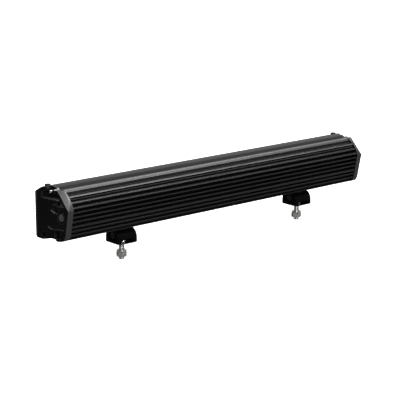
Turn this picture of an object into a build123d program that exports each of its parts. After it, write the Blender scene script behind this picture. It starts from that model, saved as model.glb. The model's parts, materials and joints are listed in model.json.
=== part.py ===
from build123d import *
import math
import os

os.makedirs("parts", exist_ok=True)

# LED light bar on two sliding, tilting feet. Millimetres.
# X runs along the bar, the lens faces -Y, the cooling fins face +Y, +Z is up.
# The origin is on the plane the feet stand on, midway between the two mounting bolts.

# ---- driving dimensions ----
BAR_HALF = 281.0            # mid-length to an end face
HOUSING_HALF = 271.2        # mid-length to the end of the extrusion
GASKET_T = 0.8              # end gasket thickness
STUD_X = 170.0              # mid-length to a mounting bolt
FRONT_Y = -46.0             # outer face of the bezel
BEZEL_BACK_Y = -42.5        # where the bezel meets the housing
UNDERSIDE_Z = 22.8          # flat underside, above the feet
RAIL_Y = 0.0                # centre of the slotted rail under the bar
TILT_Z = 12.0               # height of the tilt axis above the mounting plane
WALL_GAP = 0.15             # sliding clearance in the rail
THREAD_GAP = 0.05           # bolts are plain rods a hair smaller than their threads

# section of the bar, (Y, Z)
CROWN_Z = 93.8
CROWN_Y = -13.0
CROWN_R = 51.0
FRONT_BOTTOM_Z = 21.6
FRONT_KEEL_Z = 17.6
RIDGE_Z = 90.8
GROOVE_Z = 90.2
CROWN_END_Y = -3.0
GROOVE_Y0 = -0.6            # the crown slopes down to the groove between these two
GROOVE_Y1 = 2.5
RIDGE_Y0 = 4.2
RIDGE_Y1 = 10.6
SLOPE_MID = (21.5, 80.5)    # on the curved slope between ridge and apex
REAR_APEX = (29.4, 67.0)    # furthest back point of the fins
REAR_LOW = (21.8, 30.4)     # where the rear face turns under
REAR_BOTTOM = (18.6, 24.6)
COLLAR_PROUD = 0.7          # the end collars stand out past the fin tips by this

# fins: heights of their tips and how thick they are
FIN_T = 1.5
THIN_FIN_T = 0.8
THICK_FIN_T = 3.0
FIN_LEVELS = (83.2, 76.4, 69.8, 62.9, 56.3, 49.9, 36.9, 30.6)
THICK_FIN_Z = 42.5
THIN_FIN_Z = 79.6
THIN_FIN_TIP_Y = 20.2       # the thin rib stops short of the other tips
BASE_FIN_Z = 25.4           # top of the lowest web
FIN_ROOT_Y = 12.0
RECESS_Y = 11.2             # upright wall between the ridge and the top fin
RIDGE_BEVEL = ((8.4, 90.8), (11.2, 88.2))

# lens side
CAVITY_Z = (30.5, 74.5)     # light chamber
CAVITY_BACK_Y = -16.0
REBATE_Z = (28.3, 76.7)     # step that holds gasket and lens
REBATE_Y = -38.0
LENS_T = 3.2
BEZEL_OPENING_Z = (31.0, 74.0)
BEZEL_OPENING_HALF = 264.5
LED_ROWS = 2
LED_COLUMNS = 24
LED_PITCH = 22.0
CUP_MOUTH_R = 10.3
CUP_THROAT_R = 3.6
REFLECTOR_Y = (-37.4, -18.6)
BOARD_T = 1.6
PAD_T = 0.5

# chamber for the driver, between the light chamber and the fins
DRIVER_Y = (-11.0, 7.0)
DRIVER_Z = (37.5, 69.5)
UPPER_DUCT = (-19.0, -5.0, 80.0, 89.2)   # hollow under the crown: Y, Y, Z, Z

# screws that hold an end cap, (Y, Z)
CAP_SCREWS = ((-26.1, 81.0), (6.6, 73.7), (5.7, 33.4), (-28.0, 24.4))
CAP_SCREW_R = 2.1
CAP_SCREW_HEAD_R = 3.3
CAP_SCREW_HEAD_T = 2.4
CAP_SCREW_DEPTH = 18.0

# rail under the bar
SLOT_MOUTH_HALF = 5.0
SLOT_HALF = 9.0
LIP_TOP_Z = 25.4
SLOT_TOP_Z = 29.4
SHOE_HALF_X = 24.0
NECK_HALF_Y = 4.6

# foot
FOOT_HALF_X = 15.8
FOOT_HALF_Y = 15.2
FOOT_TOP_Z = 20.3
FOOT_FLOOR_T = 1.0
POCKET_HALF_X = 7.7
POCKET_HALF_Y = 8.1
TONGUE_HALF_X = 7.2
TONGUE_R = 4.2
TILT_BOLT_R = 3.0

# hardware under each foot
SHANK_R = 4.0
NECK_IN_FOOT_R = 4.4
THREAD_R = 3.65
BOLT_AF = 13.0
BOLT_HEAD_T = 3.4
WASHER_TOP_Z = -10.5
WASHER_T = 2.2
NUT_TOP_Z = -13.2
NUT_T = 6.8
BOLT_TIP_Z = -24.3

# bezel screws
BEZEL_SCREW_R = 1.5
BEZEL_HEAD_R = 2.5
BEZEL_HEAD_T = 1.4
BEZEL_SCREW_Z = (25.4, 79.2)
BEZEL_SCREWS_PER_ROW = 8
BEZEL_SCREW_SPAN = 476.0

# driver, along X and where its board lies
DRIVER_X = (-240.0, -90.0)
DRIVER_BOARD_Y = -7.0

# end caps; hollows of the end face are given as (Y, Z) points
CAP_INNER_X = HOUSING_HALF + GASKET_T
POCKET_FLOOR_X = BAR_HALF - 6.0
COLLAR_LINE = ((8.8, 88.8), (29.9, 67.4))   # straight outer edge of the collar's bevel, on the end face
COLLAR_RISE = 4.3           # the bevel climbs this much from the end face to the inner edge
CROWN_CHAMFER = 1.2
UPPER_POCKET_FLOOR = ((-32.0, 77.1), (-15.5, 78.0), (9.8, 79.4))
SCOOP_FLOOR = ((-9.5, 63.4), (-1.0, 60.2), (8.5, 61.0))
LEDGE_FLOOR = ((-17.5, 38.6), (-8.0, 36.9), (20.0, 40.6))
LIP_DROP = 1.7
LIP_DEPTH = 2.4
NOTCH_SCREW_YZ = (-12.0, 86.9)
NOTCH_SCREW_R = 2.1

# breather plug in the left cap, cable gland in the right one
PLUG_YZ = (13.0, 55.5)
PLUG_AF = 9.6
PLUG_BORE_R = 3.0
PLUG_RECESS_R = 8.6
PLUG_BORE_X = 273.5         # the fittings' holes stop here, where a duct leads to the driver chamber
GLAND_R = 5.0
GLAND_AF = 13.0
GLAND_SEAL_R = 3.4
GLAND_CABLE_R = 1.9

# screw on top of each cap
TOP_SCREW_X = 274.0
TOP_SCREW_Y = -25.5
TOP_SCREW_HEAD_R = 4.2
TOP_SCREW_R = 1.5
TOP_SCREW_SEAT_Z = 91.2
TOP_SCREW_BOTTOM_Z = 86.5
TOP_SCREW_HEAD_TOP_Z = 94.3

# details of foot and shoe
SIDE_PANEL_DEPTH = 2.2
ARCH_HALF_X = 12.0
ARCH_SILL_Z = 1.6
ARCH_SIDE_Z = 3.2
ARCH_TOP_Z = 7.6
FOOT_END_ROUND = 2.8
NUT_AF_TILT = 9.0
TILT_HEAD_T = 1.9
LOCK_SCREW_X = 19.5
LOCK_SCREW_R = 2.5

SIDES = (("left", 1), ("right", -1))


# ---- small helpers ----
def block(x0, x1, y0, y1, z0, z1):
    """Box between two corners given in any order."""
    size = (abs(x1 - x0), abs(y1 - y0), abs(z1 - z0))
    return Pos((x0 + x1) / 2, (y0 + y1) / 2, (z0 + z1) / 2) * Box(*size)


def prism_x(face, x0, x1):
    """A (Y, Z) face carried along X from x0 to x1."""
    return extrude(Plane.YZ.offset(min(x0, x1)) * face, abs(x1 - x0))


def polygon(points):
    return make_face(Polyline(*points, close=True))


def rod_x(y, z, radius, x0, x1):
    return prism_x(Pos(y, z) * Circle(radius), x0, x1)


def rod_y(x, z, radius, y0, y1):
    length = abs(y1 - y0)
    return Pos(x, (y0 + y1) / 2, z) * Rot(90, 0, 0) * Cylinder(radius, length)


def rod_z(x, y, radius, z0, z1):
    return Pos(x, y, (z0 + z1) / 2) * Cylinder(radius, abs(z1 - z0))


def hexagon(across_flats, turn=0.0):
    return RegularPolygon(across_flats / 2, 6, major_radius=False, rotation=turn)


def hex_x(y, z, across_flats, x0, x1):
    return prism_x(Pos(y, z) * hexagon(across_flats), x0, x1)


def hex_z(x, y, across_flats, z0, z1, turn=0.0):
    return extrude(Plane.XY.offset(min(z0, z1)) * Pos(x, y) * hexagon(across_flats, turn), abs(z1 - z0))


def only_solid(shape):
    """The single solid of a result that may come back wrapped in a list or compound."""
    solids = sorted(shape.solids(), key=lambda solid: solid.volume)
    return solids[-1]


def save(name, *solids):
    shapes = [only_solid(solid) for solid in solids]
    result = shapes[0] if len(shapes) == 1 else Compound(children=shapes)
    result.label = name
    export_step(result, f"parts/{name}.step")


def crown_z(y):
    """Height of the crowned top at a given Y."""
    return CROWN_Z - CROWN_R + math.sqrt(CROWN_R ** 2 - (y - CROWN_Y) ** 2)


# ---- the section shared by bezel, housing and caps ----
def bar_section(front_y, proud=0.0):
    """Closed (Y, Z) outline of the bar; proud swells the rear face."""
    front_top = (front_y, crown_z(front_y))
    crown = (CROWN_Y - 6, crown_z(CROWN_Y - 6))
    crown_end = (CROWN_END_Y, crown_z(CROWN_END_Y))
    slope_top = (RIDGE_Y1 + proud, RIDGE_Z - 0.4)
    slope_mid = (SLOPE_MID[0] + proud, SLOPE_MID[1] + proud * 0.6)
    apex = (REAR_APEX[0] + proud, REAR_APEX[1])
    low = (REAR_LOW[0] + proud, REAR_LOW[1])
    bottom = (REAR_BOTTOM[0] + proud, REAR_BOTTOM[1])
    edges = [
        ThreePointArc(front_top, crown, crown_end),
        Line(crown_end, (GROOVE_Y0, GROOVE_Z)),
        Line((GROOVE_Y0, GROOVE_Z), (GROOVE_Y1, GROOVE_Z)),
        Line((GROOVE_Y1, GROOVE_Z), (RIDGE_Y0, RIDGE_Z)),
        Line((RIDGE_Y0, RIDGE_Z), slope_top),
        ThreePointArc(slope_top, slope_mid, apex),
        Line(apex, low),
        Line(low, bottom),
        Line(bottom, (14.6, UNDERSIDE_Z)),
        Line((14.6, UNDERSIDE_Z), (-9.5, UNDERSIDE_Z)),
        Line((-9.5, UNDERSIDE_Z), (-30.0, FRONT_KEEL_Z)),
        Line((-30.0, FRONT_KEEL_Z), (-41.5, FRONT_KEEL_Z)),
    ]
    if front_y < BEZEL_BACK_Y:
        edges.append(ThreePointArc((-41.5, FRONT_KEEL_Z), (front_y + 1.3, 18.9), (front_y, FRONT_BOTTOM_Z)))
        edges.append(Line((front_y, FRONT_BOTTOM_Z), front_top))
    else:
        edges.append(Line((-41.5, FRONT_KEEL_Z), (front_y, FRONT_KEEL_Z + 0.2)))
        edges.append(Line((front_y, FRONT_KEEL_Z + 0.2), front_top))
    return make_face(edges)


def fin_grooves():
    """(low, high) heights of the open spaces between neighbouring fins."""
    fins = [(z - FIN_T / 2, z + FIN_T / 2) for z in FIN_LEVELS]
    fins.append((THICK_FIN_Z - THICK_FIN_T / 2, THICK_FIN_Z + THICK_FIN_T / 2))
    fins.append((THIN_FIN_Z - THIN_FIN_T / 2, THIN_FIN_Z + THIN_FIN_T / 2))
    fins.append((UNDERSIDE_Z, BASE_FIN_Z))
    fins.sort()
    return [(below[1], above[0]) for below, above in zip(fins, fins[1:])]


def ridge_recess(rear):
    """Open space behind the ridge, above the top fin; it also bevels the ridge's rear edge."""
    top_fin = max(FIN_LEVELS) + FIN_T / 2
    return polygon([*RIDGE_BEVEL, (RECESS_Y, top_fin), (rear, top_fin), (rear, RIDGE_Z + 5),
                    (RIDGE_BEVEL[0][0], RIDGE_Z + 5)])


def t_slot(x0, x1):
    mouth = block(x0, x1, RAIL_Y - SLOT_MOUTH_HALF, RAIL_Y + SLOT_MOUTH_HALF, UNDERSIDE_Z - 2, SLOT_TOP_Z)
    head = block(x0, x1, RAIL_Y - SLOT_HALF, RAIL_Y + SLOT_HALF, LIP_TOP_Z, SLOT_TOP_Z)
    return mouth + head


# ---- housing and what it holds ----
def housing():
    body = prism_x(bar_section(BEZEL_BACK_Y), -HOUSING_HALF, HOUSING_HALF)
    reach = HOUSING_HALF + 1
    rear = REAR_APEX[0] + 5
    for low, high in fin_grooves():
        body -= block(-reach, reach, FIN_ROOT_Y, rear, low, high)
    body -= block(-reach, reach, THIN_FIN_TIP_Y, rear, THIN_FIN_Z - 1, THIN_FIN_Z + 1)
    body -= prism_x(ridge_recess(rear), -reach, reach)
    for _, side in SIDES:
        body -= rod_z(side * TOP_SCREW_X, TOP_SCREW_Y, TOP_SCREW_HEAD_R + 0.2, TOP_SCREW_SEAT_Z, CROWN_Z + 5)
    body -= block(-reach, reach, BEZEL_BACK_Y - 1, CAVITY_BACK_Y, *CAVITY_Z)
    body -= block(-reach, reach, BEZEL_BACK_Y - 1, REBATE_Y, *REBATE_Z)
    body -= block(-reach, reach, *DRIVER_Y, *DRIVER_Z)
    body -= block(-reach, reach, *UPPER_DUCT)
    body -= t_slot(-reach, reach)
    for y, z in CAP_SCREWS:
        for _, side in SIDES:
            inner = HOUSING_HALF - CAP_SCREW_DEPTH
            body -= rod_x(y, z, CAP_SCREW_R + THREAD_GAP, side * inner, side * reach)
    for x, z in bezel_screw_places():
        if abs(x) < HOUSING_HALF:
            body -= rod_y(x, z, BEZEL_SCREW_R + THREAD_GAP, BEZEL_BACK_Y - 1, BEZEL_BACK_Y + 8)
    return body


def bezel_screw_places():
    """(X, Z) of the screws along the top and bottom of the bezel and at its four corners."""
    step = BEZEL_SCREW_SPAN / (BEZEL_SCREWS_PER_ROW - 1)
    places = []
    for z in BEZEL_SCREW_Z:
        places += [(-BEZEL_SCREW_SPAN / 2 + step * i, z) for i in range(BEZEL_SCREWS_PER_ROW)]
        places += [(side * (BAR_HALF - 4.5), z) for _, side in SIDES]
    return places


def bezel_screws():
    screws = []
    for x, z in bezel_screw_places():
        head = rod_y(x, z, BEZEL_HEAD_R, FRONT_Y + 0.2, FRONT_Y + 0.2 + BEZEL_HEAD_T)
        shank = rod_y(x, z, BEZEL_SCREW_R, FRONT_Y + BEZEL_HEAD_T, BEZEL_BACK_Y + 5.5)
        driver = rod_y(x, z, 1.0, FRONT_Y - 1, FRONT_Y + 1.1)
        screws.append(head + shank - driver)
    return screws


def front_bezel():
    slab = prism_x(bar_section(FRONT_Y), -BAR_HALF, BAR_HALF)
    frame = slab & block(-BAR_HALF, BAR_HALF, FRONT_Y - 1, BEZEL_BACK_Y, 0, 120)
    opening = block(-BEZEL_OPENING_HALF, BEZEL_OPENING_HALF, FRONT_Y - 1, BEZEL_BACK_Y + 1, *BEZEL_OPENING_Z)
    frame -= fillet(opening.edges().filter_by(Axis.Y), 5)
    for x, z in bezel_screw_places():
        frame -= rod_y(x, z, BEZEL_SCREW_R + THREAD_GAP, FRONT_Y - 1, BEZEL_BACK_Y + 1)
        frame -= rod_y(x, z, BEZEL_HEAD_R + THREAD_GAP, FRONT_Y - 1, FRONT_Y + 0.2 + BEZEL_HEAD_T)
    return frame


def lens_box(y0, y1, margin):
    half = HOUSING_HALF - 0.3 - margin
    return block(-half, half, y0, y1, REBATE_Z[0] + 0.2 + margin, REBATE_Z[1] - 0.2 - margin)


def front_lens():
    return lens_box(BEZEL_BACK_Y, BEZEL_BACK_Y + LENS_T, 0)


def lens_gasket():
    ring = lens_box(BEZEL_BACK_Y + LENS_T, REBATE_Y, 0)
    return ring - lens_box(BEZEL_BACK_Y, REBATE_Y + 1, 2.0)


def led_places():
    """(X, Z) of every LED, in rows centred in the light chamber."""
    centre_z = sum(CAVITY_Z) / 2
    places = []
    for row in range(LED_ROWS):
        z = centre_z + (row - (LED_ROWS - 1) / 2) * LED_PITCH
        places += [((i - (LED_COLUMNS - 1) / 2) * LED_PITCH, z) for i in range(LED_COLUMNS)]
    return places


def reflector():
    y_mouth, y_throat = REFLECTOR_Y
    body = block(-265.5, 265.5, y_mouth, y_throat, CAVITY_Z[0] + 0.3, CAVITY_Z[1] - 0.3)
    depth = y_throat - y_mouth
    for x, z in led_places():
        cup = Cone(CUP_THROAT_R, CUP_MOUTH_R, depth)
        body -= Pos(x, (y_mouth + y_throat) / 2, z) * Rot(90, 0, 0) * cup
    return body


def thermal_pad():
    return block(-266, 266, CAVITY_BACK_Y - PAD_T, CAVITY_BACK_Y, CAVITY_Z[0] + 1, CAVITY_Z[1] - 1)


def led_board():
    front = CAVITY_BACK_Y - PAD_T - BOARD_T
    return block(-266, 266, front, CAVITY_BACK_Y - PAD_T, CAVITY_Z[0] + 0.5, CAVITY_Z[1] - 0.5)


def led_chips():
    back = CAVITY_BACK_Y - PAD_T - BOARD_T
    chips = []
    for x, z in led_places():
        base = block(x - 1.75, x + 1.75, back - 0.8, back, z - 1.75, z + 1.75)
        dome = rod_y(x, z, 1.3, back - 1.5, back - 0.8)
        chips.append(base + dome)
    return chips


def driver_board():
    low, high = DRIVER_Z
    return block(*DRIVER_X, DRIVER_BOARD_Y, DRIVER_BOARD_Y + BOARD_T, low + 0.6, high - 0.6)


def driver_standoffs():
    posts = []
    for x in (DRIVER_X[0] + 8, DRIVER_X[1] - 8):
        for z in (DRIVER_Z[0] + 5, DRIVER_Z[1] - 5):
            posts.append(rod_y(x, z, 2.5, DRIVER_Y[0], DRIVER_BOARD_Y))
    return posts


def driver_parts():
    face = DRIVER_BOARD_Y + BOARD_T
    mid = sum(DRIVER_Z) / 2
    parts = [rod_y(x, mid, 5.0, face, face + 9) for x in (-218, -204)]
    parts.append(block(-188, -168, face, face + 9, mid - 10, mid + 10))
    parts.append(block(-156, -146, face, face + 4.5, mid - 6, mid + 6))
    parts += [block(x, x + 7, face, face + 2.5, mid - 5, mid + 5) for x in (-134, -122, -110)]
    return parts


# ---- end caps ----


def collar_bevel():
    """Wedge that tapers the upper rear of the collar towards the end face."""
    high, low = COLLAR_LINE
    middle = ((high[0] + low[0]) / 2, (high[1] + low[1]) / 2)
    along = (0, low[0] - high[0], low[1] - high[1])
    plane = Plane(origin=(BAR_HALF, *middle), x_dir=(1, 0, 0), z_dir=along)
    width = BAR_HALF - CAP_INNER_X
    outward = 1 if plane.y_dir.Y > 0 else -1
    section = polygon([(2, 0), (0, 0), (-width, outward * COLLAR_RISE),
                       (-width, outward * 30), (2, outward * 30)])
    return extrude(plane * section, 50, both=True)


def sloped_lip(start, end, drop, depth):
    """Wedge that slopes the lower wall of a hollow outwards, between two (Y, Z) points."""
    along = Vector(0, end[0] - start[0], end[1] - start[1])
    plane = Plane(origin=(BAR_HALF, *start), x_dir=(1, 0, 0), z_dir=along)
    down = 1 if plane.y_dir.Z < 0 else -1
    section = polygon([(1, 0), (-depth, 0), (0, down * drop), (1, down * drop)])
    return extrude(plane * section, along.length)


def lips_along(points, drop, depth):
    return [sloped_lip(start, end, drop, depth) for start, end in zip(points, points[1:])]


def upper_pocket():
    """Pocket in the top of the end face, open upwards through a U-shaped notch."""
    floor = [*UPPER_POCKET_FLOOR, (12.4, 81.2)]
    roof = [(7.0, 86.8), (-1.8, 87.9), (-1.8, 98.0), (-17.0, 98.0), (-17.0, 88.8), (-31.5, 84.0)]
    return prism_x(fillet(polygon(floor + roof).vertices(), 1.2), POCKET_FLOOR_X, BAR_HALF + 1)


def tilted_facet():
    """Shallow wedge round the upper rear screw: no depth at its lower edge, deepest at the top."""
    outline = polygon([(-7.2, 69.8), (-4.5, 66.4), (20.4, 70.9), (14.6, 77.6)])
    cutter = prism_x(outline, BAR_HALF - 8, BAR_HALF + 1)
    tilted = Pos(BAR_HALF, 4.0, 67.6) * Rot(0, -17, 0) * Pos(15, 0, 0) * Box(30, 90, 60)
    return cutter & tilted


def side_scoop():
    """Round-ended hollow that runs in from the middle of the face to the plug recess."""
    outline = polygon([*SCOOP_FLOOR, (19.5, 63.6), (19.5, 65.0), (-2.0, 64.9)])
    return prism_x(outline, BAR_HALF - 3.0, BAR_HALF + 1)


def ledge_groove():
    """V-ended groove across the lower half of the face."""
    outline = polygon([*LEDGE_FLOOR, (20.0, 43.6), (-8.0, 40.6)])
    return prism_x(outline, BAR_HALF - 2.5, BAR_HALF + 1)


def lower_pocket():
    """Pocket round the lower rear screw, open through the underside."""
    outline = polygon([(-2.6, 23.6), (-2.6, 30.0), (0.5, 35.4), (10.0, 36.6), (11.8, 30.0), (11.8, 25.5), (1.0, 25.0)])
    return prism_x(outline, BAR_HALF - 4.5, BAR_HALF + 1)


def keel_pocket():
    """Triangular hollow round the lower front screw."""
    outline = polygon([(-29.0, 30.2), (-19.8, 24.3), (-31.0, 20.6), (-34.4, 23.6)])
    return prism_x(fillet(outline.vertices(), 0.8), BAR_HALF - 5.0, BAR_HALF + 1)


def end_cap(is_left):
    """Cap of the +X end; the other end is its mirror image."""
    body = prism_x(bar_section(BEZEL_BACK_Y, COLLAR_PROUD), CAP_INNER_X, BAR_HALF)
    rounds = body.edges().filter_by(GeomType.CIRCLE).filter_by_position(Axis.X, BAR_HALF - 0.1, BAR_HALF + 0.1)
    body = chamfer(rounds.sort_by(Axis.Z)[-1], CROWN_CHAMFER)
    lip = polygon([(-0.5, 23.6), (1.4, 20.6), (4.4, 20.6), (14.6, UNDERSIDE_Z - 0.2), (14.6, 23.6)])
    body += prism_x(lip, CAP_INNER_X, BAR_HALF)
    cutters = (collar_bevel(), upper_pocket(), tilted_facet(), side_scoop(), ledge_groove(), lower_pocket(),
               keel_pocket())
    for cutter in cutters:
        body -= cutter
    for floor in (UPPER_POCKET_FLOOR, SCOOP_FLOOR, LEDGE_FLOOR):
        for lip_cut in lips_along(floor, LIP_DROP, LIP_DEPTH):
            body -= lip_cut
    for y, z in CAP_SCREWS:
        body -= rod_x(y, z, CAP_SCREW_R + THREAD_GAP, CAP_INNER_X - 1, BAR_HALF + 1)
        body -= rod_x(y, z, CAP_SCREW_HEAD_R + 0.5, POCKET_FLOOR_X - 0.6, BAR_HALF + 1)
    body -= rod_x(*NOTCH_SCREW_YZ, 1.5 + THREAD_GAP, CAP_INNER_X + 0.5, BAR_HALF)
    body -= rod_x(*PLUG_YZ, PLUG_RECESS_R, BAR_HALF - 4.5, BAR_HALF + 1)
    fitting_r = PLUG_BORE_R if is_left else GLAND_R
    body -= rod_x(*PLUG_YZ, fitting_r + THREAD_GAP, PLUG_BORE_X, BAR_HALF)
    body -= block(CAP_INNER_X - 1, PLUG_BORE_X + 1.4, 2.0, 12.5, PLUG_YZ[1] - 5, PLUG_YZ[1] + 5)
    body -= rod_z(TOP_SCREW_X, TOP_SCREW_Y, TOP_SCREW_R + THREAD_GAP, TOP_SCREW_BOTTOM_Z - 0.4, 100)
    body -= rod_z(TOP_SCREW_X, TOP_SCREW_Y, TOP_SCREW_HEAD_R + 0.2, TOP_SCREW_SEAT_Z, 100)
    for z in BEZEL_SCREW_Z:
        body -= rod_y(BAR_HALF - 4.5, z, BEZEL_SCREW_R + THREAD_GAP, BEZEL_BACK_Y - 1, BEZEL_BACK_Y + 8)
    return body


def end_gasket():
    outline = bar_section(BEZEL_BACK_Y + 1.0)
    sheet = prism_x(outline, HOUSING_HALF, CAP_INNER_X)
    inside = block(HOUSING_HALF - 1, CAP_INNER_X + 1, *DRIVER_Y, *DRIVER_Z)
    sheet &= block(HOUSING_HALF, CAP_INNER_X, BEZEL_BACK_Y + 1.0, FIN_ROOT_Y + 1.5, 20.0, 91.0)
    sheet -= inside
    sheet -= block(HOUSING_HALF - 1, CAP_INNER_X + 1, REBATE_Y, CAVITY_BACK_Y, *CAVITY_Z)
    for y, z in CAP_SCREWS:
        sheet -= rod_x(y, z, CAP_SCREW_R + THREAD_GAP, HOUSING_HALF - 1, CAP_INNER_X + 1)
    return sheet


def end_cap_screws():
    screws = []
    for y, z in CAP_SCREWS:
        head_base = POCKET_FLOOR_X - 0.6
        shank = rod_x(y, z, CAP_SCREW_R, HOUSING_HALF - CAP_SCREW_DEPTH + 2, head_base)
        head = rod_x(y, z, CAP_SCREW_HEAD_R, head_base, head_base + CAP_SCREW_HEAD_T)
        socket = hex_x(y, z, 3.0, head_base + 1.0, head_base + CAP_SCREW_HEAD_T + 1)
        screws.append(shank + head - socket)
    return screws


def notch_screw():
    """Short plated screw standing in the notch at the top of the cap."""
    y, z = NOTCH_SCREW_YZ
    shank = rod_x(y, z, 1.5, CAP_INNER_X + 0.8, POCKET_FLOOR_X)
    head = rod_x(y, z, NOTCH_SCREW_R, POCKET_FLOOR_X, BAR_HALF - 1.2)
    slot = block(BAR_HALF - 2.2, BAR_HALF, y - 5, y + 5, z - 0.5, z + 0.5)
    return shank + head - slot


def top_screw():
    shank = rod_z(TOP_SCREW_X, TOP_SCREW_Y, TOP_SCREW_R, TOP_SCREW_BOTTOM_Z, TOP_SCREW_SEAT_Z)
    head = rod_z(TOP_SCREW_X, TOP_SCREW_Y, TOP_SCREW_HEAD_R, TOP_SCREW_SEAT_Z, TOP_SCREW_HEAD_TOP_Z)
    head = fillet(head.edges().filter_by(GeomType.CIRCLE).sort_by(Axis.Z)[-1], 1.2)
    socket = hex_z(TOP_SCREW_X, TOP_SCREW_Y, 2.5, TOP_SCREW_HEAD_TOP_Z - 1.6, TOP_SCREW_HEAD_TOP_Z + 1)
    return shank + head - socket


def vent_plug():
    y, z = PLUG_YZ
    recess_floor = BAR_HALF - 4.5
    stem = rod_x(y, z, PLUG_BORE_R, PLUG_BORE_X + 0.2, recess_floor)
    flange = rod_x(y, z, PLUG_AF / 2 + 1.4, recess_floor, recess_floor + 0.9)
    head = hex_x(y, z, PLUG_AF, recess_floor + 0.9, BAR_HALF - 0.2)
    vent = rod_x(y, z, 0.8, CAP_INNER_X, BAR_HALF + 1)
    return stem + flange + head - vent


def cable_gland():
    y, z = PLUG_YZ
    recess_floor = BAR_HALF - 4.5
    barrel = rod_x(y, z, GLAND_R, PLUG_BORE_X + 0.2, recess_floor)
    nut = hex_x(y, z, GLAND_AF, recess_floor, BAR_HALF - 1.6)
    rim = rod_x(y, z, GLAND_AF / 2 - 0.6, BAR_HALF - 1.6, BAR_HALF - 0.2)
    bore = rod_x(y, z, GLAND_SEAL_R, HOUSING_HALF - 5, BAR_HALF + 1)
    return barrel + nut + rim - bore


def gland_seal():
    y, z = PLUG_YZ
    ring = rod_x(y, z, GLAND_SEAL_R - 0.02, PLUG_BORE_X + 0.2, BAR_HALF - 0.9)
    return ring - rod_x(y, z, GLAND_CABLE_R, CAP_INNER_X - 1, BAR_HALF)


# ---- rail shoes and feet, built at X = 0 and moved to their places ----


def rail_slider():
    head_half_y = SLOT_HALF - WALL_GAP
    shoe = block(-SHOE_HALF_X, SHOE_HALF_X, -head_half_y, head_half_y, LIP_TOP_Z + WALL_GAP, SLOT_TOP_Z - WALL_GAP)
    neck = block(-SHOE_HALF_X, SHOE_HALF_X, -NECK_HALF_Y, NECK_HALF_Y, UNDERSIDE_Z + 0.3, LIP_TOP_Z + 1)
    tongue = block(-TONGUE_HALF_X, TONGUE_HALF_X, -TONGUE_R, TONGUE_R, TILT_Z, UNDERSIDE_Z + 1)
    tongue += rod_x(0, TILT_Z, TONGUE_R, -TONGUE_HALF_X, TONGUE_HALF_X)
    body = shoe + neck + tongue
    body -= rod_x(0, TILT_Z, TILT_BOLT_R + 0.05, -TONGUE_HALF_X - 1, TONGUE_HALF_X + 1)
    for side in (-1, 1):
        body -= rod_z(side * LOCK_SCREW_X, 0, LOCK_SCREW_R + THREAD_GAP, UNDERSIDE_Z - 1, SLOT_TOP_Z + 1)
    return body


def rail_lock_screws():
    screws = []
    for side in (-1, 1):
        grub = rod_z(side * LOCK_SCREW_X, 0, LOCK_SCREW_R, UNDERSIDE_Z + 0.6, SLOT_TOP_Z - WALL_GAP)
        grub -= hex_z(side * LOCK_SCREW_X, 0, 2.5, UNDERSIDE_Z, UNDERSIDE_Z + 3)
        screws.append(grub)
    return screws


def foot_profile():
    """(Y, Z) dome of the foot: flat base, upright sides, round shoulders, flat top."""
    half = FOOT_HALF_Y
    dome = [
        Line((-half + 2.5, 0), (half - 2.5, 0)),
        ThreePointArc((half - 2.5, 0), (half - 0.73, 0.73), (half, 2.5)),
        Line((half, 2.5), (half - 0.2, 7.0)),
        ThreePointArc((half - 0.2, 7.0), (12.6, 15.6), (6.0, FOOT_TOP_Z)),
        Line((6.0, FOOT_TOP_Z), (-6.0, FOOT_TOP_Z)),
        ThreePointArc((-6.0, FOOT_TOP_Z), (-12.6, 15.6), (-half + 0.2, 7.0)),
        Line((-half + 0.2, 7.0), (-half, 2.5)),
        ThreePointArc((-half, 2.5), (-half + 0.73, 0.73), (-half + 2.5, 0)),
    ]
    return make_face(dome)


def foot():
    body = prism_x(foot_profile(), -FOOT_HALF_X, FOOT_HALF_X)
    tall = 2 * FOOT_TOP_Z
    rounded_ends = Pos(0, tall / 2) * RectangleRounded(2 * FOOT_HALF_X, tall, FOOT_END_ROUND)
    body &= extrude(Plane.XZ * rounded_ends, FOOT_HALF_Y + 1, both=True)
    body -= block(-POCKET_HALF_X, POCKET_HALF_X, -POCKET_HALF_Y, POCKET_HALF_Y, FOOT_FLOOR_T, FOOT_TOP_Z + 1)
    body -= rod_z(0, 0, NECK_IN_FOOT_R + 0.2, -1, FOOT_FLOOR_T + 1)
    body -= rod_x(0, TILT_Z, TILT_BOLT_R + THREAD_GAP, -FOOT_HALF_X - 1, FOOT_HALF_X + 1)
    for side in (-1, 1):
        face = Pos(0, TILT_Z - 0.6) * RectangleRounded(19.0, 12.4, 3.0)
        body -= prism_x(face, side * (FOOT_HALF_X - SIDE_PANEL_DEPTH), side * (FOOT_HALF_X + 1))
    mouth = [
        Line((-ARCH_HALF_X, ARCH_SILL_Z), (ARCH_HALF_X, ARCH_SILL_Z)),
        Line((ARCH_HALF_X, ARCH_SILL_Z), (ARCH_HALF_X, ARCH_SIDE_Z)),
        ThreePointArc((ARCH_HALF_X, ARCH_SIDE_Z), (0, ARCH_TOP_Z), (-ARCH_HALF_X, ARCH_SIDE_Z)),
        Line((-ARCH_HALF_X, ARCH_SIDE_Z), (-ARCH_HALF_X, ARCH_SILL_Z)),
    ]
    return body - extrude(Plane.XZ.offset(-FOOT_HALF_Y - 1) * make_face(mouth), FOOT_HALF_Y - 4)


def foot_bolt():
    head = hex_z(0, 0, BOLT_AF, FOOT_FLOOR_T, FOOT_FLOOR_T + BOLT_HEAD_T, 30)
    neck = rod_z(0, 0, NECK_IN_FOOT_R, 0, FOOT_FLOOR_T)
    shank = rod_z(0, 0, SHANK_R, WASHER_TOP_Z, 0)
    thread = rod_z(0, 0, THREAD_R, BOLT_TIP_Z, WASHER_TOP_Z)
    return head + neck + shank + thread


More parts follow.
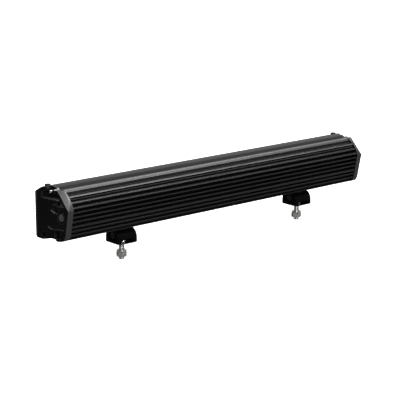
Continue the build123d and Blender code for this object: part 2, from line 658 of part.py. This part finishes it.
def spring_washer():
    ring = rod_z(0, 0, 6.9, WASHER_TOP_Z - WASHER_T, WASHER_TOP_Z)
    ring -= rod_z(0, 0, THREAD_R + 0.05, WASHER_TOP_Z - WASHER_T - 1, WASHER_TOP_Z + 1)
    return ring - block(3, 9, -0.5, 0.5, WASHER_TOP_Z - WASHER_T - 1, WASHER_TOP_Z + 1)


def foot_nut():
    blank = hex_z(0, 0, BOLT_AF, NUT_TOP_Z - NUT_T, NUT_TOP_Z, 5)
    rounding = Pos(0, 0, NUT_TOP_Z - NUT_T / 2) * Cylinder(7.45, NUT_T)
    rounding = chamfer(rounding.edges().filter_by(GeomType.CIRCLE), 0.7)
    return (blank & rounding) - rod_z(0, 0, THREAD_R + THREAD_GAP, NUT_TOP_Z - NUT_T - 1, NUT_TOP_Z + 1)


def tilt_bolt():
    """Cross bolt; its head sits in the outer side panel and its tip takes the nut inboard."""
    seat = FOOT_HALF_X - SIDE_PANEL_DEPTH
    head = rod_x(0, TILT_Z, 4.6, seat, seat + TILT_HEAD_T)
    shank = rod_x(0, TILT_Z, TILT_BOLT_R, -seat - TILT_HEAD_T, seat)
    socket = hex_x(0, TILT_Z, 3.0, seat + 0.6, seat + TILT_HEAD_T + 1)
    return head + shank - socket


def tilt_nut():
    seat = FOOT_HALF_X - SIDE_PANEL_DEPTH
    blank = hex_x(0, TILT_Z, NUT_AF_TILT, -seat - TILT_HEAD_T, -seat)
    return blank - rod_x(0, TILT_Z, TILT_BOLT_R + THREAD_GAP, -seat - 5, -seat + 5)


# ---- write every node ----
def mirrored(shape, side):
    return shape if side == 1 else mirror(shape, about=Plane.YZ)


save("housing", housing())
save("front_bezel", front_bezel())
save("front_lens", front_lens())
save("lens_gasket", lens_gasket())
save("bezel_screws", *bezel_screws())
save("reflector", reflector())
save("thermal_pad", thermal_pad())
save("led_board", led_board())
save("led_chips", *led_chips())
save("driver_board", driver_board())
save("driver_standoffs", *driver_standoffs())
save("driver_parts", *driver_parts())
save("vent_plug", vent_plug())
save("cable_gland", mirrored(cable_gland(), -1))
save("gland_seal", mirrored(gland_seal(), -1))
save("top_screws", *[mirrored(top_screw(), side) for _, side in SIDES])
save("notch_screws", *[mirrored(notch_screw(), side) for _, side in SIDES])

for name, side in SIDES:
    save(f"end_cap_{name}", mirrored(end_cap(side == 1), side))
    save(f"end_gasket_{name}", mirrored(end_gasket(), side))
    save(f"end_cap_screws_{name}", *[mirrored(screw, side) for screw in end_cap_screws()])
    place = Pos(side * STUD_X, 0, 0)
    save(f"rail_slider_{name}", place * rail_slider())
    save(f"rail_lock_screws_{name}", *[place * screw for screw in rail_lock_screws()])
    save(f"foot_{name}", place * foot())
    save(f"foot_bolt_{name}", place * foot_bolt())
    save(f"spring_washer_{name}", place * spring_washer())
    save(f"foot_nut_{name}", place * foot_nut())
    save(f"tilt_bolt_{name}", place * mirrored(tilt_bolt(), side))
    save(f"tilt_nut_{name}", place * mirrored(tilt_nut(), side))
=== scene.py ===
import json
import math

import bmesh
import bpy
from mathutils import Matrix, Vector

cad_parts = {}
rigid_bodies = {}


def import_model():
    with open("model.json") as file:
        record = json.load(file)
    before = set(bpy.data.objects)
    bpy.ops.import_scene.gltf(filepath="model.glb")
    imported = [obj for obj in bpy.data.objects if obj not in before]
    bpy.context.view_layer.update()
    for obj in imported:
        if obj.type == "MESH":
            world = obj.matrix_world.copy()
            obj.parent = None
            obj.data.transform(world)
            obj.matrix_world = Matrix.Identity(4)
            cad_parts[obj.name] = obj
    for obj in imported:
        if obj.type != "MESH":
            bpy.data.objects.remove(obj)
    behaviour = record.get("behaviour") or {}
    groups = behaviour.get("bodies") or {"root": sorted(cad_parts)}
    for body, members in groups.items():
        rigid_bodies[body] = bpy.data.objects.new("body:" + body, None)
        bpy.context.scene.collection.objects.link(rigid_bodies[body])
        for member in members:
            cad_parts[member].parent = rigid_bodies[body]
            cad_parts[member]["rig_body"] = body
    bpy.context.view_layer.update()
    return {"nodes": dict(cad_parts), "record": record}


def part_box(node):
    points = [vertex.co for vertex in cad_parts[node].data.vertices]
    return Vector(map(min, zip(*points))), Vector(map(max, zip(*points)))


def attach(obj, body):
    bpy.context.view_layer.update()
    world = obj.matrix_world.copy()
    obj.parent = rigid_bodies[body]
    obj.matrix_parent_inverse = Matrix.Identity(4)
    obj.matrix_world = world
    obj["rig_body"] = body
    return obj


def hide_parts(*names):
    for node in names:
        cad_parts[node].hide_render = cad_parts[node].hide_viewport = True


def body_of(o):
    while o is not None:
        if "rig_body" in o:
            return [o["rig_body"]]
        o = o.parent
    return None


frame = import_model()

# LED light bar on two sliding, tilting feet. Metres.
# X runs along the bar, the lens faces -Y, the fins face +Y, the feet's base plane is Z = 0.
NODES = frame["nodes"]
SLOT_OF = {row["node"]: row["material_slot"] for row in frame["record"]["subparts"]}
SIDES = (("left", 1), ("right", -1))
STUD_X = 0.170
FLOOR_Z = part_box("foot_bolt_left")[0][2]

# ---- camera: long lens from behind, to the left and a little above ----
CAMERA_PLACE = Vector((1.38657, 1.57705, 0.54462))
CAMERA_RIGHT = Vector((-0.75706, 0.65334, 0.0))
CAMERA_UP = Vector((-0.15467, -0.17922, 0.97157))
LENS_MM = 133.34
SENSOR_MM = 36.0
CAMERA_REACH = 20.0


def add_camera():
    data = bpy.data.cameras.new("camera")
    data.lens = LENS_MM
    data.sensor_width = SENSOR_MM
    data.clip_end = CAMERA_REACH
    camera = bpy.data.objects.new("camera", data)
    back = CAMERA_RIGHT.cross(CAMERA_UP)
    turn = Matrix((CAMERA_RIGHT, CAMERA_UP, back)).transposed().to_4x4()
    camera.matrix_world = Matrix.Translation(CAMERA_PLACE) @ turn
    bpy.context.scene.collection.objects.link(camera)
    bpy.context.scene.camera = camera


# ---- materials ----
# Sockets of the Mix node when it mixes colours.
MIX_FIRST = 6
MIX_SECOND = 7
MIX_RESULT = 2


def grey(tone):
    return (tone, tone, tone)


class Material:
    """A node material under construction: small wrappers that keep each material readable."""

    def __init__(self, name):
        self.material = bpy.data.materials.new(name)
        self.material.use_nodes = True
        self.tree = self.material.node_tree
        self.shader = self.tree.nodes["Principled BSDF"]
        self.place = self.add("ShaderNodeTexCoord").outputs["Object"]

    def add(self, kind, **settings):
        node = self.tree.nodes.new(kind)
        for key, value in settings.items():
            setattr(node, key, value)
        return node

    def link(self, out, socket):
        self.tree.links.new(out, socket)

    def set(self, **values):
        """Fixed values of the shader, named with _ for each space."""
        for key, value in values.items():
            self.shader.inputs[key.replace("_", " ")].default_value = value

    def feed(self, out, name):
        """Drives one input of the shader."""
        self.link(out, self.shader.inputs[name])

    def stretched(self, scale):
        mapping = self.add("ShaderNodeMapping")
        mapping.inputs["Scale"].default_value = scale
        self.link(self.place, mapping.inputs["Vector"])
        return mapping.outputs["Vector"]

    def noise(self, scale, detail=3.0, rough=0.5, stretch=(1, 1, 1)):
        node = self.add("ShaderNodeTexNoise")
        node.inputs["Scale"].default_value = scale
        node.inputs["Detail"].default_value = detail
        node.inputs["Roughness"].default_value = rough
        self.link(self.stretched(stretch), node.inputs["Vector"])
        return node.outputs["Fac"]

    def remap(self, value, low, high, to_low=0.0, to_high=1.0):
        node = self.add("ShaderNodeMapRange", clamp=True)
        node.inputs["From Min"].default_value = low
        node.inputs["From Max"].default_value = high
        node.inputs["To Min"].default_value = to_low
        node.inputs["To Max"].default_value = to_high
        self.link(value, node.inputs["Value"])
        return node.outputs["Result"]

    def patches(self, scale, low=0.0, high=1.0):
        """Soft patches that wander between two values."""
        return self.remap(self.noise(scale, detail=4.0), 0.3, 0.7, low, high)

    def math(self, operation, *values):
        node = self.add("ShaderNodeMath", operation=operation)
        for socket, value in zip(node.inputs, values):
            if isinstance(value, (int, float)):
                socket.default_value = value
            else:
                self.link(value, socket)
        return node.outputs[0]

    def blend(self, factor, first, second):
        """A colour between two, each of them a tuple or the output of a node."""
        node = self.add("ShaderNodeMix", data_type="RGBA")
        self.link(factor, node.inputs["Factor"])
        for socket, value in ((node.inputs[MIX_FIRST], first), (node.inputs[MIX_SECOND], second)):
            if isinstance(value, tuple):
                socket.default_value = (*value, 1.0)
            else:
                self.link(value, socket)
        return node.outputs[MIX_RESULT]

    def bump(self, height, distance, strength):
        node = self.add("ShaderNodeBump")
        node.inputs["Distance"].default_value = distance
        node.inputs["Strength"].default_value = strength
        self.link(height, node.inputs["Height"])
        self.feed(node.outputs["Normal"], "Normal")

    def edge_mask(self, radius, low=0.03, high=0.35):
        """One along sharp edges, nought on flats."""
        rounded = self.add("ShaderNodeBevel", samples=4)
        rounded.inputs["Radius"].default_value = radius
        flat = self.add("ShaderNodeNewGeometry").outputs["Normal"]
        dot = self.add("ShaderNodeVectorMath", operation="DOT_PRODUCT")
        self.link(rounded.outputs["Normal"], dot.inputs[0])
        self.link(flat, dot.inputs[1])
        gone = self.math("SUBTRACT", 1.0, dot.outputs["Value"])
        return self.remap(gone, low, high)

    def within(self, axis, low, high):
        """One where the place along an axis lies between two values, nought elsewhere."""
        split = self.add("ShaderNodeSeparateXYZ")
        self.link(self.place, split.inputs[0])
        above = self.math("GREATER_THAN", split.outputs[axis], low)
        below = self.math("LESS_THAN", split.outputs[axis], high)
        return self.math("MULTIPLY", above, below)

    def facing(self, axis):
        """How far the surface faces along one world axis, -1 to 1."""
        split = self.add("ShaderNodeSeparateXYZ")
        self.link(self.add("ShaderNodeNewGeometry").outputs["Normal"], split.inputs[0])
        return split.outputs[axis]


def coated(name, dark, light, rough, grain, worn=grey(0.25), wear=0.25, specular=0.5):
    """Powder coat or moulded surface: fine grain, slow patches of tone, rubbed edges."""
    m = Material(name)
    tone = m.blend(m.patches(28.0), dark, light)
    scuffs = m.remap(m.noise(220.0, detail=5.0, rough=0.65), 0.45, 0.7)
    edges = m.math("MULTIPLY", m.edge_mask(0.0005), m.math("MULTIPLY", scuffs, wear))
    m.feed(m.blend(edges, tone, worn), "Base Color")
    m.feed(m.patches(90.0, rough - 0.06, rough + 0.06), "Roughness")
    m.bump(m.noise(grain, detail=2.0), distance=0.00006, strength=0.5)
    m.set(Specular_IOR_Level=specular)
    return m.material


def drawn(name, dark, light, rough, stretch):
    """Metal with fine lines along one direction and pale edges."""
    m = Material(name)
    lines = m.noise(700.0, detail=4.0, rough=0.6, stretch=stretch)
    tone = m.blend(m.remap(lines, 0.3, 0.7), dark, light)
    pale_edges = m.math("MULTIPLY", m.edge_mask(0.0003), 0.5)
    m.feed(m.blend(pale_edges, tone, (0.8, 0.8, 0.78)), "Base Color")
    stains = m.remap(m.noise(160.0, detail=5.0, rough=0.6), 0.35, 0.7)
    uneven = m.math("ADD", m.math("MULTIPLY", lines, 0.5), m.math("MULTIPLY", stains, 0.5))
    m.feed(m.remap(uneven, 0.3, 0.7, rough - 0.08, rough + 0.1), "Roughness")
    m.bump(lines, distance=0.00004, strength=0.4)
    m.set(Metallic=1.0)
    return m.material


# Where the extrusion's painted highlight and roughness change; each of these places reaches up to ABOVE_BAR.
RIDGE_Y = (0.0036, 0.0092)
RIDGE_LOW_Z = 0.0904
GROOVE_Y = (-0.0040, 0.0034)
GROOVE_LOW_Z = 0.0895
PAINTED_HIGHLIGHT_LOW_Z = 0.066       # edges above this get the full painted highlight, on top of their wear
ABOVE_BAR = 1.0


def extrusion_material():
    """Matt black anodising with die lines along the bar; its edges are partly worn and partly a painted
    highlight, brightest on edges that face up and on the upper fins, and the ridge top has a painted
    highlight.
    """
    m = Material("black_extrusion")
    die_lines = m.noise(1.0, detail=4.0, rough=0.6, stretch=(4.0, 900.0, 900.0))
    on_ridge = m.math("MULTIPLY", m.within("Y", *RIDGE_Y), m.within("Z", RIDGE_LOW_Z, ABOVE_BAR))
    in_groove = m.math("MULTIPLY", m.within("Y", *GROOVE_Y), m.within("Z", GROOVE_LOW_Z, ABOVE_BAR))
    # Painted highlight: edges that face up, and all edges on the upper fins, are made brighter where light
    # from above would catch them.
    facing_up = m.remap(m.facing("Z"), 0.1, 0.8, 0.25, 1.0)
    painted_highlight_reach = m.math("MAXIMUM", facing_up, m.within("Z", PAINTED_HIGHLIGHT_LOW_Z, ABOVE_BAR))
    rubbed = m.math("MULTIPLY", m.edge_mask(0.0009), painted_highlight_reach)
    rubbed = m.math("MULTIPLY", rubbed, m.remap(die_lines, 0.2, 0.7, 0.5, 1.0))
    rubbed = m.math("MULTIPLY", rubbed, m.math("SUBTRACT", 1.0, in_groove))
    # The ridge top gets a painted highlight; the edges mix real wear with painted highlight.
    wear_and_painted_highlight = m.math("MAXIMUM", rubbed, m.math("MULTIPLY", on_ridge, 0.68))
    black = m.blend(m.patches(9.0), grey(0.005), grey(0.009))
    m.feed(m.blend(wear_and_painted_highlight, black, (0.30, 0.30, 0.305)), "Base Color")
    m.feed(m.math("MULTIPLY", wear_and_painted_highlight, 0.9), "Metallic")
    satin = m.remap(die_lines, 0.3, 0.7, 0.34, 0.46)
    m.feed(m.math("ADD", satin, m.math("MULTIPLY", in_groove, 0.45)), "Roughness")
    grain = m.math("MULTIPLY", m.noise(900.0, detail=2.0), 0.35)
    m.bump(m.math("ADD", die_lines, grain), distance=0.00006, strength=0.5)
    m.set(Specular_IOR_Level=0.45)
    return m.material


def cap_material():
    """Cast cap: its collar is dark satin metal; its end face is not metallic and is coloured near black, a
    painted shade on the side turned away from the light.
    """
    m = Material("cap_satin")
    # The end face's near-black colour is painted shade, where the cap turns away from the light.
    end_face = m.remap(m.math("ABSOLUTE", m.facing("X")), 0.93, 0.98)
    patches = m.patches(24.0)
    collar = m.blend(patches, grey(0.10), grey(0.13))
    painted_end_shade = m.blend(patches, grey(0.0030), grey(0.0052))
    scuffs = m.remap(m.noise(180.0, detail=5.0), 0.35, 0.7, 0.3, 0.9)
    # Pale edges: partly scuffed wear, partly painted edge highlights.
    worn = m.math("MULTIPLY", m.edge_mask(0.0006, 0.02, 0.2), scuffs)
    m.feed(m.blend(worn, m.blend(end_face, collar, painted_end_shade), grey(0.2)), "Base Color")
    m.feed(m.remap(end_face, 0.0, 1.0, 0.9, 0.0), "Metallic")
    m.feed(m.patches(120.0, 0.34, 0.46), "Roughness")
    m.bump(m.noise(1400.0, detail=2.0), distance=0.00005, strength=0.5)
    m.set(Specular_IOR_Level=0.04)
    return m.material


def lens_material():
    """Clear acrylic with faint smears."""
    m = Material("clear_lens")
    m.feed(m.blend(m.noise(12.0), (0.97, 0.98, 0.98), (0.99, 0.99, 0.99)), "Base Color")
    m.feed(m.remap(m.noise(60.0, detail=5.0), 0.4, 0.75, 0.015, 0.06), "Roughness")
    m.bump(m.noise(30.0, detail=2.0), distance=0.00002, strength=0.3)
    m.set(Transmission_Weight=1.0, IOR=1.49)
    return m.material


def chip_material():
    """Yellow phosphor under a clear coat."""
    m = Material("led_yellow")
    m.feed(m.blend(m.noise(900.0), (0.78, 0.62, 0.10), (0.90, 0.78, 0.22)), "Base Color")
    m.feed(m.remap(m.noise(300.0), 0.3, 0.7, 0.2, 0.35), "Roughness")
    m.bump(m.noise(1500.0), distance=0.00003, strength=0.3)
    m.set(Coat_Weight=0.6)
    return m.material


COATINGS = {
    "seal_rubber": dict(dark=grey(0.012), light=grey(0.02), rough=0.75, grain=900.0, wear=0.05),
    "pad_rubber": dict(dark=(0.35, 0.40, 0.46), light=(0.42, 0.47, 0.52), rough=0.8, grain=900.0, wear=0.05),
    "black_screw": dict(dark=grey(0.006), light=grey(0.011), rough=0.4, grain=1800.0, wear=0.3, specular=0.2),
    "board_white": dict(dark=(0.72, 0.72, 0.69), light=(0.80, 0.80, 0.77), rough=0.35, grain=500.0,
                        worn=grey(0.5), wear=0.2),
    "board_green": dict(dark=(0.015, 0.12, 0.045), light=(0.02, 0.17, 0.06), rough=0.35, grain=500.0,
                        worn=grey(0.5), wear=0.2),
    "part_plastic": dict(dark=(0.02, 0.02, 0.022), light=(0.035, 0.035, 0.04), rough=0.5, grain=900.0),
    "plug_plastic": dict(dark=grey(0.07), light=grey(0.10), rough=0.5, grain=1200.0, wear=0.3),
    "foot_black": dict(dark=grey(0.001), light=grey(0.003), rough=0.42, grain=1300.0,
                       worn=grey(0.06), wear=0.6, specular=0.06),
}
METALS = {
    "reflector_chrome": dict(dark=(0.80, 0.81, 0.83), light=(0.88, 0.88, 0.90), rough=0.14,
                             stretch=(1, 1, 1)),
    "brass_insert": dict(dark=(0.55, 0.38, 0.14), light=(0.68, 0.48, 0.2), rough=0.3, stretch=(1, 1, 12)),
    "zinc_steel": dict(dark=(0.78, 0.78, 0.76), light=(0.93, 0.93, 0.91), rough=0.22, stretch=(1, 1, 8)),
    "shoe_steel": dict(dark=grey(0.22), light=grey(0.34), rough=0.4, stretch=(8, 1, 1)),
}


def slot_materials():
    """One material for each material slot of the record."""
    materials = {
        "black_extrusion": extrusion_material(),
        "cap_satin": cap_material(),
        "clear_lens": lens_material(),
        "led_yellow": chip_material(),
    }
    for name, finish in COATINGS.items():
        materials[name] = coated(name, **finish)
    for name, finish in METALS.items():
        materials[name] = drawn(name, **finish)
    return materials


def dress_nodes(materials):
    """Gives every carried-over CAD node its material."""
    for node, material_slot in SLOT_OF.items():
        mesh = NODES[node].data
        mesh.materials.clear()
        mesh.materials.append(materials[material_slot])


# ---- studio ----
FLOOR_HALF = 6.0
FLOOR_GLOW = 0.9            # lifts the pale floor to the white of the room
ROOM_LIGHT = 0.33           # strength of the white room for every ray but the camera's
BAR_MIDDLE = (0.0, 0.0, 0.06)
FEET = (0.0, 0.0, 0.0)
# Each row: name, place, target, width and height, watts.
SOFTBOXES = (
    ("over_fins", (-0.6, 0.75, 1.95), BAR_MIDDLE, (2.8, 1.1), 62),
    ("overhead", (0.4, -0.9, 2.0), BAR_MIDDLE, (2.0, 1.0), 8),
    ("on_hardware", (0.6, 1.6, 0.25), FEET, (0.7, 0.3), 7),
    ("behind_crown", (-1.55, -1.8, 0.75), BAR_MIDDLE, (2.2, 1.0), 2.4),
)


def add_world():
    """White to the camera, dimmer as a light, so that black coatings stay black."""
    world = bpy.data.worlds.new("studio")
    bpy.context.scene.world = world
    world.use_nodes = True
    tree = world.node_tree
    background = tree.nodes["Background"]
    background.inputs["Color"].default_value = (1.0, 1.0, 1.0, 1.0)
    seen = tree.nodes.new("ShaderNodeLightPath").outputs["Is Camera Ray"]
    strength = tree.nodes.new("ShaderNodeMapRange")
    strength.inputs["To Min"].default_value = ROOM_LIGHT
    strength.inputs["To Max"].default_value = 1.0
    tree.links.new(seen, strength.inputs["Value"])
    tree.links.new(strength.outputs["Result"], background.inputs["Strength"])


def floor_material():
    """Pale to the camera, grey to the object, as with dark cards laid beside it."""
    m = Material("studio_floor")
    seen = m.add("ShaderNodeLightPath").outputs["Is Camera Ray"]
    pale = m.blend(m.noise(3.0), grey(0.93), grey(0.95))
    m.feed(m.blend(seen, grey(0.2), pale), "Base Color")
    m.feed(m.math("MULTIPLY", seen, FLOOR_GLOW), "Emission Strength")
    m.set(Roughness=0.9, Specular_IOR_Level=0.1, Emission_Color=(1.0, 1.0, 1.0, 1.0))
    return m.material


def add_floor():
    half = FLOOR_HALF
    corners = [(x, y, FLOOR_Z) for x, y in ((-half, -half), (half, -half), (half, half), (-half, half))]
    mesh = bpy.data.meshes.new("floor")
    mesh.from_pydata(corners, [], [(0, 1, 2, 3)])
    mesh.materials.append(floor_material())
    floor = bpy.data.objects.new("floor", mesh)
    bpy.context.scene.collection.objects.link(floor)


def add_softbox(name, place, target, size, watts):
    data = bpy.data.lights.new(name, "AREA")
    data.shape = "RECTANGLE"
    data.size = size[0]
    data.size_y = size[1]
    data.energy = watts
    light = bpy.data.objects.new(name, data)
    place = Vector(place)
    aim = (Vector(target) - place).to_track_quat("-Z", "Y")
    light.matrix_world = Matrix.Translation(place) @ aim.to_matrix().to_4x4()
    bpy.context.scene.collection.objects.link(light)


def add_studio():
    add_world()
    add_floor()
    for softbox in SOFTBOXES:
        add_softbox(*softbox)
    bpy.context.scene.view_settings.view_transform = "Standard"


# ---- pieces that stand in for CAD nodes ----
def finish_piece(obj, node, materials):
    """Puts a piece on its node's body, in its finish, and hides the node."""
    material_slot = SLOT_OF[node]
    obj.data.materials.clear()
    obj.data.materials.append(materials[material_slot])
    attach(obj, body_of(NODES[node])[0])
    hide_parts(node)


def object_from(mesh, name, sharp_above):
    """A scene object from a bmesh, smooth but for edges folded by more than an angle in degrees."""
    for edge in mesh.edges:
        has_two_faces = len(edge.link_faces) == 2
        edge.smooth = has_two_faces and edge.calc_face_angle(math.pi) < math.radians(sharp_above)
    for face in mesh.faces:
        face.smooth = True
    data = bpy.data.meshes.new(name)
    mesh.to_mesh(data)
    mesh.free()
    obj = bpy.data.objects.new(name, data)
    bpy.context.scene.collection.objects.link(obj)
    return obj


# Radius given to the sharp edges of each node that gets a softened copy.
SOFT_EDGES = {
    "housing": 0.0003,
    "front_bezel": 0.0004,
    "vent_plug": 0.0003,
    "cable_gland": 0.0003,
    "top_screws": 0.0002,
    "notch_screws": 0.0002,
    "bezel_screws": 0.0001,
}
SOFT_EDGES_PER_SIDE = {
    "end_cap": 0.0004,
    "end_cap_screws": 0.0002,
    "foot": 0.0006,
    "foot_nut": 0.0003,
    "tilt_bolt": 0.0002,
    "tilt_nut": 0.0002,
    "rail_slider": 0.0003,
}
SAME_POINT = 1e-6           # corners nearer than this are joined
FLAT_BELOW = 0.6            # degrees: faces that differ by less become one
SMOOTH_BELOW = 25           # degrees: edges folded by less are shaded smooth
ROUND_ABOVE = 28            # degrees: edges folded by more are rounded
ROUND_STEPS = 2


def softened(node, radius, materials):
    """A copy of a CAD node whose sharp edges are rounded, so that they catch the light."""
    source = NODES[node]
    mesh = bmesh.new()
    mesh.from_mesh(source.data)
    mesh.transform(source.matrix_world)
    bmesh.ops.remove_doubles(mesh, verts=mesh.verts, dist=SAME_POINT)
    bmesh.ops.dissolve_limit(mesh, angle_limit=math.radians(FLAT_BELOW), verts=mesh.verts, edges=mesh.edges)
    piece = object_from(mesh, f"{node}_soft", sharp_above=SMOOTH_BELOW)
    rounding = piece.modifiers.new("rounded_edges", "BEVEL")
    rounding.width = radius
    rounding.segments = ROUND_STEPS
    rounding.limit_method = "ANGLE"
    rounding.angle_limit = math.radians(ROUND_ABOVE)
    rounding.harden_normals = True
    rounding.use_clamp_overlap = True
    finish_piece(piece, node, materials)


SKIN_SMOOTH_BELOW = 50      # degrees


def skin(name, rings):
    """A closed piece over rings of points: each ring has the same count, and the ends are filled."""
    mesh = bmesh.new()
    rows = [[mesh.verts.new(point) for point in ring] for ring in rings]
    count = len(rows[0])
    for lower, upper in zip(rows, rows[1:]):
        for i in range(count):
            j = (i + 1) % count
            mesh.faces.new((lower[i], lower[j], upper[j], upper[i]))
    mesh.faces.new(list(reversed(rows[0])))
    mesh.faces.new(rows[-1])
    bmesh.ops.recalc_face_normals(mesh, faces=mesh.faces)
    return object_from(mesh, name, sharp_above=SKIN_SMOOTH_BELOW)


# M8 bolt that hangs from each foot
BOLT_STEPS = 32
BOLT_ANGLES = [2 * math.pi * i / BOLT_STEPS for i in range(BOLT_STEPS)]
THREAD_CREST_R = 0.00395
THREAD_DEPTH = 0.00066
THREAD_PITCH = 0.00125
THREAD_CREST_SHARE = 0.15   # crest and flank are shares of half a pitch, the root is the rest
THREAD_FLANK_SHARE = 0.7
THREAD_TOP_Z = -0.002
RINGS_PER_PITCH = 8
RUNOUT = 0.0003             # from the end of the thread to the plain shank
TIP_CHAMFER = 0.0009
HEAD_BASE_Z = 0.001
HEAD_TOP_Z = 0.0044
HEAD_FLATS = 0.0129
HEAD_CORNER_R = HEAD_FLATS / 2 / math.cos(math.pi / 6)
HEAD_CHAMFER = 0.0005
HEAD_CHAMFER_CUT = 0.001    # taken off the corner radius at the top


def thread_radius(angle, z):
    """Crest, flanks and root of the thread, tapered near the tip."""
    phase = (z / THREAD_PITCH - angle / (2 * math.pi)) % 1.0
    from_crest = abs(phase - 0.5) * 2
    groove = min(max((from_crest - THREAD_CREST_SHARE) / THREAD_FLANK_SHARE, 0.0), 1.0)
    taper = THREAD_CREST_R - TIP_CHAMFER + (z - FLOOR_Z)
    return min(THREAD_CREST_R - THREAD_DEPTH * groove, taper)


def hex_radius(angle, corner_r):
    """Distance to the side of the head's hexagon, cut to a circle at its corners."""
    sector = math.pi / 3
    turn = (angle + sector / 2) % sector - sector / 2
    return min(HEAD_FLATS / 2 / math.cos(turn), corner_r)


def bolt_ring(x, z, radii):
    """One level of the bolt: a point at each of BOLT_ANGLES, each at its own radius."""
    return [(x + r * math.cos(angle), r * math.sin(angle), z) for angle, r in zip(BOLT_ANGLES, radii)]


def foot_bolt_piece(name, x, materials):
    """The bolt with a real thread, from its tip on the floor up to its hexagon head."""
    rings = []
    length = THREAD_TOP_Z - FLOOR_Z
    count = round(length / THREAD_PITCH * RINGS_PER_PITCH)
    for k in range(count + 1):
        z = FLOOR_Z + length * k / count
        rings.append(bolt_ring(x, z, [thread_radius(angle, z) for angle in BOLT_ANGLES]))
    for z in (THREAD_TOP_Z + RUNOUT, HEAD_BASE_Z):
        rings.append(bolt_ring(x, z, [THREAD_CREST_R] * BOLT_STEPS))
    for z, cut in ((HEAD_BASE_Z, 0.0), (HEAD_TOP_Z - HEAD_CHAMFER, 0.0), (HEAD_TOP_Z, HEAD_CHAMFER_CUT)):
        rings.append(bolt_ring(x, z, [hex_radius(angle, HEAD_CORNER_R - cut) for angle in BOLT_ANGLES]))
    finish_piece(skin(f"threaded_bolt_{name}", rings), f"foot_bolt_{name}", materials)


# split spring washer between nut and foot
WASHER_INNER_R = 0.00405
WASHER_OUTER_R = 0.0069
WASHER_LOW_Z = -0.0127
WASHER_SECTION = 0.00165
WASHER_RISE = 0.0005
WASHER_GAP_ANGLE = math.radians(9)
WASHER_CORNER = 0.0002
WASHER_STEPS = 60


def washer_section(x, angle, z):
    """Square section with clipped corners, at one place round the coil."""
    a, b = WASHER_INNER_R, WASHER_OUTER_R
    c, h = WASHER_CORNER, WASHER_SECTION
    outline = [(a + c, 0), (b - c, 0), (b, c), (b, h - c), (b - c, h), (a + c, h), (a, h - c), (a, c)]
    return [(x + r * math.cos(angle), r * math.sin(angle), z + dz) for r, dz in outline]


def spring_washer_piece(name, x, materials):
    """One turn of coil that rises a little, with a gap where its ends meet."""
    sections = []
    for k in range(WASHER_STEPS + 1):
        share = k / WASHER_STEPS
        angle = WASHER_GAP_ANGLE / 2 + (2 * math.pi - WASHER_GAP_ANGLE) * share
        sections.append(washer_section(x, angle, WASHER_LOW_Z + WASHER_RISE * share))
    finish_piece(skin(f"coil_washer_{name}", sections), f"spring_washer_{name}", materials)


def add_pieces(materials):
    for node, radius in SOFT_EDGES.items():
        softened(node, radius, materials)
    for name, side in SIDES:
        for node, radius in SOFT_EDGES_PER_SIDE.items():
            softened(f"{node}_{name}", radius, materials)
        foot_bolt_piece(name, side * STUD_X, materials)
        spring_washer_piece(name, side * STUD_X, materials)


# ---- build ----
add_camera()
add_studio()
MATERIALS = slot_materials()
dress_nodes(MATERIALS)
add_pieces(MATERIALS)
